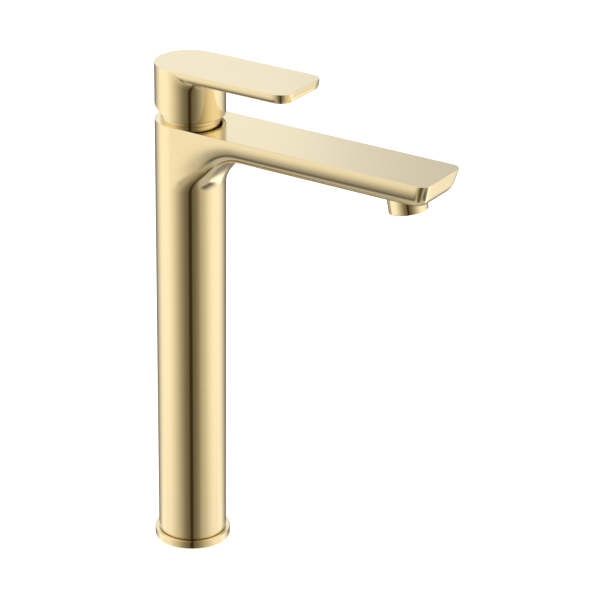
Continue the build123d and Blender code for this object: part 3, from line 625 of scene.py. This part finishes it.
class MIXER_OT_base_ring(bpy.types.Operator):
    """Turn the ring that covers the hole in the deck"""
    bl_idname = "mixer.base_ring"
    bl_label = "Base ring"

    def execute(self, context):
        edge = context.scene.mixer_shape.ring_edge_r
        outer = RING_HIGH.y
        high = RING_HIGH.z
        profile = [(RING_LIP_R, 0.0), (GASKET_IN_R, 0.0), (GASKET_IN_R, GASKET_H), (GASKET_OUT_R, GASKET_H),
                   (GASKET_OUT_R, 0.0), (outer - RING_CORNER, 0.0), (outer, RING_CORNER)]
        profile += arc_points((outer - edge, high - edge), edge, 0, 90, 6)
        profile += [(RING_BORE_R + RING_CORNER, high), (RING_BORE_R, high - RING_CORNER),
                    (RING_BORE_R, RING_LIP_H), (RING_LIP_R, RING_LIP_H)]
        piece = turned_ring(profile, "deck_ring")
        dress(piece, "gold_polished", "root", "base_ring")
        return {"FINISHED"}


class MIXER_OT_neck(bpy.types.Operator):
    """Turn the ball-shaped ring between body and handle"""
    bl_idname = "mixer.neck"
    bl_label = "Neck ring"

    def execute(self, context):
        low_turn = math.degrees(math.acos(NECK_R / NECK_BALL_R))
        high_turn = math.degrees(math.asin((NECK_HIGH.z - PIVOT_Z) / NECK_BALL_R))
        profile = [(NECK_BORE_R, NECK_LOW.z), (NECK_R - NECK_CORNER, NECK_LOW.z),
                   (NECK_R, NECK_LOW.z + NECK_CORNER)]
        profile += arc_points((0.0, PIVOT_Z), NECK_BALL_R, low_turn, high_turn, 10)
        profile += [(NECK_MOUTH_R, NECK_HIGH.z), (NECK_MOUTH_R, NECK_HIGH.z - NECK_LIP_H),
                    (NECK_BORE_R, NECK_HIGH.z - NECK_LIP_H)]
        piece = turned_ring(profile, "neck_collar")
        dress(piece, "gold_polished", "root", "neck_ring")
        return {"FINISHED"}


class MIXER_OT_aerator(bpy.types.Operator):
    """Turn the sleeve of the aerator under the spout's tip"""
    bl_idname = "mixer.aerator"
    bl_label = "Aerator sleeve"

    def execute(self, context):
        edge = AERATOR_EDGE_R
        profile = [(AERATOR_LIP_R, AERATOR_LIP_CORNER), (AERATOR_LIP_R + AERATOR_LIP_CORNER, 0.0),
                   (AERATOR_R - edge, 0.0)]
        profile += arc_points((AERATOR_R - edge, edge), edge, -90, 0, 5)[1:]
        corner = AERATOR_TOP_CORNER
        profile += [(AERATOR_R, AERATOR_L - corner), (AERATOR_R - corner, AERATOR_L),
                    (AERATOR_BORE_R, AERATOR_L), (AERATOR_BORE_R, AERATOR_LIP_H),
                    (AERATOR_LIP_R, AERATOR_LIP_H)]
        piece = turned_ring(profile, "aerator_sleeve", aerator_place())
        dress(piece, "gold_polished", "root", "aerator_shell")
        low, high = SPIGOT_SPAN
        profile = [(SPIGOT_BORE_R, low), (SPIGOT_R - SPIGOT_CORNER, low), (SPIGOT_R, low + SPIGOT_CORNER),
                   (SPIGOT_R, high), (SPIGOT_BORE_R, high)]
        piece = turned_ring(profile, "aerator_spigot", aerator_place())
        dress(piece, "brass_raw", "root")
        return {"FINISHED"}


class MIXER_OT_index_cap(bpy.types.Operator):
    """Turn the small cap over the screw hole at the handle's rear"""
    bl_idname = "mixer.index_cap"
    bl_label = "Index cap"

    def execute(self, context):
        profile = [(0.0, CAP_INNER), (CAP_R, CAP_INNER), (CAP_R, CAP_RIM - CAP_CORNER),
                   (CAP_R - CAP_CORNER, CAP_RIM)]
        profile += [(CAP_R * part, CAP_RIM + CAP_DOME_H * rise) for part, rise in CAP_DOME]
        piece = turned_ring(profile, "index_cap", screw_place(0.0, -math.pi / 2))
        dress(piece, "gold_polished", "lever", "index_plug")
        return {"FINISHED"}


# ==== Materials ====

LINE_STRETCH = (18.0, 18.0, 0.0)        # how fast a brushing line changes along its length
GOLD_SHADE = 0.93                       # darkest brushing line against the lightest
ROUGHNESS_SPREAD = (0.85, 1.15)         # least and most roughness of a grained finish


def node_group(name, inputs, outputs):
    """Empty shader group with named sockets: (name, socket type, default or None)."""
    group = bpy.data.node_groups.new(name, "ShaderNodeTree")
    for label, kind, default in inputs:
        socket = group.interface.new_socket(name=label, in_out="INPUT", socket_type=kind)
        if default is not None:
            socket.default_value = default
    for label, kind in outputs:
        group.interface.new_socket(name=label, in_out="OUTPUT", socket_type=kind)
    return group, group.nodes.new("NodeGroupInput"), group.nodes.new("NodeGroupOutput")


def math_node(nodes, links, operation, *sources):
    """Math node fed by sockets or numbers."""
    node = nodes.new("ShaderNodeMath")
    node.operation = operation
    for socket, source in zip(node.inputs, sources):
        if isinstance(source, (int, float)):
            socket.default_value = source
        else:
            links.new(source, socket)
    return node.outputs[0]


def vector_node(nodes, links, operation, a, b):
    """Vector math node fed by sockets or a fixed vector."""
    node = nodes.new("ShaderNodeVectorMath")
    node.operation = operation
    for socket, source in zip(node.inputs, (a, b)):
        if isinstance(source, tuple):
            socket.default_value = source
        else:
            links.new(source, socket)
    return node.outputs[0]


def mixed(nodes, links, factor, a, b, blend="MIX"):
    """Mix of two colours, each a socket or a fixed colour."""
    node = nodes.new("ShaderNodeMix")
    node.data_type = "RGBA"
    node.blend_type = blend
    for label, source in (("Factor", factor), ("A", a), ("B", b)):
        if isinstance(source, (int, float, tuple)):
            node.inputs[label].default_value = source
        else:
            links.new(source, node.inputs[label])
    return node.outputs["Result"]


def brushing_group():
    """Fine lines that run level round a piece, as height, and broad cloudy unevenness of its polish."""
    group, entry, out = node_group(
        "brushing",
        [("Line density", "NodeSocketFloat", 1300.0), ("Cloud size", "NodeSocketFloat", 30.0),
         ("Unevenness", "NodeSocketFloat", 0.1)],
        [("Lines", "NodeSocketFloat"), ("Polish", "NodeSocketFloat")])
    nodes, links = group.nodes, group.links
    place = nodes.new("ShaderNodeTexCoord").outputs["Object"]
    split = nodes.new("ShaderNodeSeparateXYZ")
    links.new(place, split.inputs[0])
    rise = nodes.new("ShaderNodeCombineXYZ")
    links.new(math_node(nodes, links, "MULTIPLY", split.outputs["Z"], entry.outputs["Line density"]),
              rise.inputs["Z"])
    lines = nodes.new("ShaderNodeTexNoise")
    lines.inputs["Scale"].default_value = 1.0
    lines.inputs["Detail"].default_value = 3.0
    along = vector_node(nodes, links, "MULTIPLY", place, LINE_STRETCH)
    links.new(vector_node(nodes, links, "ADD", along, rise.outputs[0]), lines.inputs["Vector"])
    clouds = nodes.new("ShaderNodeTexNoise")
    clouds.inputs["Detail"].default_value = 2.0
    links.new(place, clouds.inputs["Vector"])
    links.new(entry.outputs["Cloud size"], clouds.inputs["Scale"])
    both = math_node(nodes, links, "ADD", lines.outputs[0], clouds.outputs[0])
    centred = math_node(nodes, links, "SUBTRACT", both, 1.0)
    polish = math_node(nodes, links, "MULTIPLY_ADD", centred, entry.outputs["Unevenness"], 1.0)
    links.new(lines.outputs[0], out.inputs["Lines"])
    links.new(polish, out.inputs["Polish"])
    return group


def grain_group():
    """Fine isotropic grain, as height, and a slow drift of tone."""
    group, entry, out = node_group(
        "grain",
        [("Grain size", "NodeSocketFloat", 3000.0), ("Drift size", "NodeSocketFloat", 60.0)],
        [("Height", "NodeSocketFloat"), ("Drift", "NodeSocketFloat")])
    nodes, links = group.nodes, group.links
    coords = nodes.new("ShaderNodeTexCoord")
    for label, source in (("Height", "Grain size"), ("Drift", "Drift size")):
        noise = nodes.new("ShaderNodeTexNoise")
        noise.inputs["Detail"].default_value = 3.0
        links.new(coords.outputs["Object"], noise.inputs["Vector"])
        links.new(entry.outputs[source], noise.inputs["Scale"])
        links.new(noise.outputs[0], out.inputs[label])
    return group


def new_material(name):
    """Material with its nodes, links and shader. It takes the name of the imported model's plain one."""
    plain = bpy.data.materials.get(name)
    if plain:
        plain.name = name + "_plain"
    material = bpy.data.materials.new(name)
    material.use_nodes = True
    nodes = material.node_tree.nodes
    return material, nodes, material.node_tree.links, nodes["Principled BSDF"]


def scaled(nodes, links, source, low, high):
    """Carries a 0 to 1 value to a range."""
    reach = nodes.new("ShaderNodeMapRange")
    reach.inputs["To Min"].default_value = low
    reach.inputs["To Max"].default_value = high
    links.new(source, reach.inputs["Value"])
    return reach.outputs[0]


def plated_metal(name, colour, roughness, brush_depth, unevenness):
    """Plated metal: brushed where brush_depth is above 0."""
    material, nodes, links, shader = new_material(name)
    brushing = nodes.new("ShaderNodeGroup")
    brushing.node_tree = bpy.data.node_groups["brushing"]
    brushing.inputs["Unevenness"].default_value = unevenness
    dark = [c * GOLD_SHADE for c in colour]
    tone = mixed(nodes, links, brushing.outputs["Lines"], (*dark, 1.0), (*colour, 1.0))
    links.new(tone, shader.inputs["Base Color"])
    rough = math_node(nodes, links, "MULTIPLY", brushing.outputs["Polish"], roughness)
    links.new(rough, shader.inputs["Roughness"])
    shader.inputs["Metallic"].default_value = 1.0
    if brush_depth > 0:
        bump = nodes.new("ShaderNodeBump")
        bump.inputs["Distance"].default_value = brush_depth
        links.new(brushing.outputs["Lines"], bump.inputs["Height"])
        links.new(bump.outputs["Normal"], shader.inputs["Normal"])
    return material


def grained(name, colour, roughness, metallic=0.0, grain=3000.0, depth=0.01 * MM, drift=0.06):
    """Moulded, machined or lapped material with a fine grain and a slow drift of tone."""
    material, nodes, links, shader = new_material(name)
    effect = nodes.new("ShaderNodeGroup")
    effect.node_tree = bpy.data.node_groups["grain"]
    effect.inputs["Grain size"].default_value = grain
    dark = [c * (1 - drift) for c in colour]
    light = [min(1.0, c * (1 + drift)) for c in colour]
    tone = mixed(nodes, links, effect.outputs["Drift"], (*dark, 1.0), (*light, 1.0))
    links.new(tone, shader.inputs["Base Color"])
    least, most = (roughness * share for share in ROUGHNESS_SPREAD)
    links.new(scaled(nodes, links, effect.outputs["Height"], least, most), shader.inputs["Roughness"])
    shader.inputs["Metallic"].default_value = metallic
    bump = nodes.new("ShaderNodeBump")
    bump.inputs["Distance"].default_value = depth
    links.new(effect.outputs["Height"], bump.inputs["Height"])
    links.new(bump.outputs["Normal"], shader.inputs["Normal"])
    return material


def make_materials(finish):
    """All finishes, each under the name of its slot."""
    brushing_group()
    grain_group()
    gold = tuple(finish.gold)
    plated_metal("gold_brushed", gold, finish.brushed_roughness, finish.brush_depth, 0.25)
    plated_metal("gold_polished", gold, finish.polished_roughness, 0.0, 0.15)
    grained("brass_raw", (0.72, 0.55, 0.27), 0.32, metallic=1.0, depth=0.02 * MM)
    grained("copper_tube", (0.80, 0.42, 0.27), 0.28, metallic=1.0)
    grained("steel", (0.60, 0.60, 0.61), 0.26, metallic=1.0)
    grained("black_rubber", (0.018, 0.018, 0.019), 0.62, depth=0.03 * MM)
    grained("white_plastic", (0.80, 0.80, 0.77), 0.42)
    grained("grey_plastic", (0.16, 0.17, 0.18), 0.45)
    grained("red_plastic", (0.55, 0.03, 0.02), 0.40)
    grained("ceramic", (0.86, 0.84, 0.78), 0.16, depth=0.003 * MM)


def dress(piece, slot, body, *nodes):
    """Gives a new piece its finish, its body and the CAD nodes that it stands for."""
    piece.data.materials.append(bpy.data.materials[slot])
    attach(piece, body)
    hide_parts(*nodes)


class MIXER_OT_materials(bpy.types.Operator):
    """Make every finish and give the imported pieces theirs"""
    bl_idname = "mixer.materials"
    bl_label = "Finishes"

    def execute(self, context):
        make_materials(context.scene.mixer_finish)
        for part in frame["record"]["subparts"]:
            node = frame["nodes"][part["node"]]
            material = bpy.data.materials[part["material_slot"]]
            if not node.material_slots:
                node.data.materials.append(material)
            for slot in node.material_slots:
                slot.material = material
        return {"FINISHED"}


# ==== Studio ====

class MIXER_OT_stage(bpy.types.Operator):
    """Set up the pale floor, the soft light and the camera"""
    bl_idname = "mixer.stage"
    bl_label = "Studio"

    def execute(self, context):
        studio = context.scene.mixer_studio
        make_floor(studio.floor_side)
        make_light(studio.strength)
        make_camera()
        context.scene.view_settings.view_transform = "Standard"
        return {"FINISHED"}


FLOOR_TONE = 0.9
FLOOR_GLOW = 0.6                # light that the floor gives off itself, which whitens it
WHITE = (1.0, 1.0, 1.0, 1.0)


def make_floor(side):
    """Pale floor at the deck's height, which reflections don't show."""
    bm = bmesh.new()
    bmesh.ops.create_grid(bm, x_segments=1, y_segments=1, size=side / 2)
    floor = new_object(bm, "floor")
    material, _, _, shader = new_material("pale_floor")
    shader.inputs["Base Color"].default_value = (FLOOR_TONE, FLOOR_TONE, FLOOR_TONE, 1.0)
    shader.inputs["Roughness"].default_value = 1.0
    shader.inputs["Emission Color"].default_value = WHITE
    shader.inputs["Emission Strength"].default_value = FLOOR_GLOW
    floor.data.materials.append(material)
    floor.visible_glossy = False


# Two tall soft boxes, left and right of the camera; angles are degrees round from the camera's side.
CARD_HALF = (4.5, 6.5)          # dark card behind the camera, and where it ends
BOX_NEAR = (6.0, 85.0)          # soft near edge of each box
BOX_FAR = (100.0, 165.0)        # soft far edge
BOX_LEVEL = (0.16, 1.2)         # dimmest and full light of a box
CARD_COLOUR = (0.05, 0.03, 0.01)
BOX_DIM = (1.0, 0.87, 0.57)     # tint of a box where it is dim, and where it is full
BOX_FULL = (1.0, 0.95, 0.83)
# What lies below level; spans are degrees below level, turns are degrees round as above.
SIDE_TURN = (36.0, 60.0)        # from here on round, a box ends softly above the ground
BOX_FOOT = (24.0, 50.0)         # soft lower edge of a box
BOX_FOOT_LEVEL = 0.14           # share of its light left below that
FLOOR_CARD = (52.0, 62.0)       # pale card on the ground starts here
FLOOR_CARD_COLOUR = (0.60, 0.57, 0.50)
REAR_TURN = (95.0, 122.0)       # from here on round, a bright low card stands behind instead
REAR_CARD_TOP = (26.0, 38.0)
REAR_CARD_FOOT = (46.0, 62.0)
REAR_CARD_LEVEL = 2.0
REAR_CARD_FOOT_LEVEL = 0.35     # share of its light left below its foot
# Panel above level and behind, which falls off to the right.
PANEL_TURN = (105.0, 145.0)
PANEL_EDGE = (2.0, 8.0)         # soft lower edge, degrees above level
PANEL_FALL = (-0.02, 0.06)      # sideways part of the direction, over which its light falls
PANEL_LEVEL = (1.1, 0.75)       # its light before and after that
PANEL_COLOUR = (0.94, 0.95, 0.94)


def soft_edge(nodes, links, source, span, low=0.0, high=1.0):
    """Value that goes smoothly from low to high while the source crosses a span."""
    edge = nodes.new("ShaderNodeMapRange")
    edge.interpolation_type = "SMOOTHSTEP"
    edge.inputs["From Min"].default_value = span[0]
    edge.inputs["From Max"].default_value = span[1]
    edge.inputs["To Min"].default_value = low
    edge.inputs["To Max"].default_value = high
    links.new(source, edge.inputs["Value"])
    return edge.outputs[0]


def sky_directions(nodes, links):
    """Angle round from the camera's side, angle above level (degrees), and place to the right."""
    coords = nodes.new("ShaderNodeTexCoord")
    split = nodes.new("ShaderNodeSeparateXYZ")
    links.new(coords.outputs["Generated"], split.inputs[0])
    x, y, z = split.outputs
    toward = Vector((math.sin(CAMERA_AZIMUTH), -math.cos(CAMERA_AZIMUTH)))
    near = math_node(nodes, links, "MULTIPLY_ADD", x, toward.x,
                     math_node(nodes, links, "MULTIPLY", y, toward.y))
    right = math_node(nodes, links, "MULTIPLY_ADD", x, -toward.y,
                      math_node(nodes, links, "MULTIPLY", y, toward.x))
    side = math_node(nodes, links, "ABSOLUTE", right)
    turn = math_node(nodes, links, "DEGREES", math_node(nodes, links, "ARCTAN2", side, near))
    rise = math_node(nodes, links, "DEGREES", math_node(nodes, links, "ARCSINE", z))
    return turn, rise, right


def make_light(strength):
    """Soft boxes and dark flags round the mixer, as a sky; white where the camera sees it directly."""
    world = bpy.data.worlds.new("studio")
    bpy.context.scene.world = world
    world.use_nodes = True
    nodes, links = world.node_tree.nodes, world.node_tree.links
    turn, rise, right = sky_directions(nodes, links)
    dip = math_node(nodes, links, "MAXIMUM", math_node(nodes, links, "MULTIPLY", rise, -1.0), 0.0)
    near_edge = soft_edge(nodes, links, turn, BOX_NEAR)
    box = math_node(nodes, links, "MULTIPLY", near_edge, soft_edge(nodes, links, turn, BOX_FAR, 1.0, 0.0))
    level = scaled(nodes, links, box, *BOX_LEVEL)
    tint = mixed(nodes, links, near_edge, (*BOX_DIM, 1.0), (*BOX_FULL, 1.0))
    boxes = mixed(nodes, links, 1.0, level, tint, "MULTIPLY")
    boxes = mixed(nodes, links, soft_edge(nodes, links, turn, CARD_HALF), (*CARD_COLOUR, 1.0), boxes)
    side = soft_edge(nodes, links, turn, SIDE_TURN)
    rear = soft_edge(nodes, links, turn, REAR_TURN)
    foot = soft_edge(nodes, links, dip, BOX_FOOT, 1.0, BOX_FOOT_LEVEL)
    rear_top = soft_edge(nodes, links, dip, REAR_CARD_TOP, 1.0, REAR_CARD_LEVEL)
    rear_foot = soft_edge(nodes, links, dip, REAR_CARD_FOOT, 1.0, REAR_CARD_FOOT_LEVEL)
    rear_share = math_node(nodes, links, "MULTIPLY", rear_top, rear_foot)
    share = mixed(nodes, links, side, WHITE, foot)
    share = mixed(nodes, links, rear, share, rear_share)
    low = mixed(nodes, links, 1.0, boxes, share, "MULTIPLY")
    ground = math_node(nodes, links, "MULTIPLY", soft_edge(nodes, links, dip, FLOOR_CARD), side)
    low = mixed(nodes, links, ground, low, (*FLOOR_CARD_COLOUR, 1.0))
    fall = soft_edge(nodes, links, right, PANEL_FALL, *PANEL_LEVEL)
    panel = mixed(nodes, links, 1.0, fall, (*PANEL_COLOUR, 1.0), "MULTIPLY")
    panel = mixed(nodes, links, soft_edge(nodes, links, turn, PANEL_TURN), boxes, panel)
    light = mixed(nodes, links, soft_edge(nodes, links, rise, PANEL_EDGE), low, panel)
    path = nodes.new("ShaderNodeLightPath")
    seen = mixed(nodes, links, path.outputs["Is Camera Ray"], light, WHITE)
    links.new(seen, nodes["Background"].inputs["Color"])
    nodes["Background"].inputs["Strength"].default_value = strength
    world.cycles.sampling_method = "MANUAL"
    world.cycles.sample_map_resolution = 512


CAMERA_AT = Vector((0.919032, -1.318033, 0.900303))
CAMERA_AZIMUTH = math.radians(32.2669)
CAMERA_ELEVATION = math.radians(24.1953)
CAMERA_ROLL = math.radians(0.7526)
CAMERA_LENS = 156.03
CAMERA_SENSOR = 36.0


def make_camera():
    """Long lens that looks down on the mixer from the front left."""
    data = bpy.data.cameras.new("camera")
    data.lens = CAMERA_LENS
    data.sensor_width = CAMERA_SENSOR
    data.clip_end = 100.0
    camera = bpy.data.objects.new("camera", data)
    turn = Matrix.Rotation(CAMERA_AZIMUTH, 4, "Z") @ Matrix.Rotation(math.pi / 2 - CAMERA_ELEVATION, 4, "X")
    camera.matrix_world = Matrix.Translation(CAMERA_AT) @ turn @ Matrix.Rotation(CAMERA_ROLL, 4, "Z")
    bpy.context.scene.collection.objects.link(camera)
    bpy.context.scene.camera = camera


# ==== Add-on ====

class MIXER_PT_panel(bpy.types.Panel):
    """Pieces, finishes and studio of the mixer"""
    bl_idname = "MIXER_PT_panel"
    bl_label = "Basin mixer"
    bl_space_type = "VIEW_3D"
    bl_region_type = "UI"
    bl_category = "Mixer"

    def draw(self, context):
        for group in (context.scene.mixer_shape, context.scene.mixer_finish, context.scene.mixer_studio):
            box = self.layout.box()
            for name in group.__annotations__:
                box.prop(group, name)
        for step in STEPS:
            self.layout.operator(step.bl_idname)


STEPS = (MIXER_OT_materials, MIXER_OT_body, MIXER_OT_handle, MIXER_OT_base_ring, MIXER_OT_neck,
         MIXER_OT_aerator, MIXER_OT_index_cap, MIXER_OT_stage)
CLASSES = (MixerShape, MixerFinish, MixerStudio, *STEPS, MIXER_PT_panel)


def register():
    """Adds the classes and the three groups of settings."""
    for cls in CLASSES:
        bpy.utils.register_class(cls)
    bpy.types.Scene.mixer_shape = PointerProperty(type=MixerShape)
    bpy.types.Scene.mixer_finish = PointerProperty(type=MixerFinish)
    bpy.types.Scene.mixer_studio = PointerProperty(type=MixerStudio)


def unregister():
    """Takes them away again."""
    del bpy.types.Scene.mixer_studio
    del bpy.types.Scene.mixer_finish
    del bpy.types.Scene.mixer_shape
    for cls in reversed(CLASSES):
        bpy.utils.unregister_class(cls)


def main():
    """Runs every step."""
    register()
    for step in STEPS:
        group, name = step.bl_idname.split(".")
        getattr(getattr(bpy.ops, group), name)()


if __name__ == "__main__":
    main()
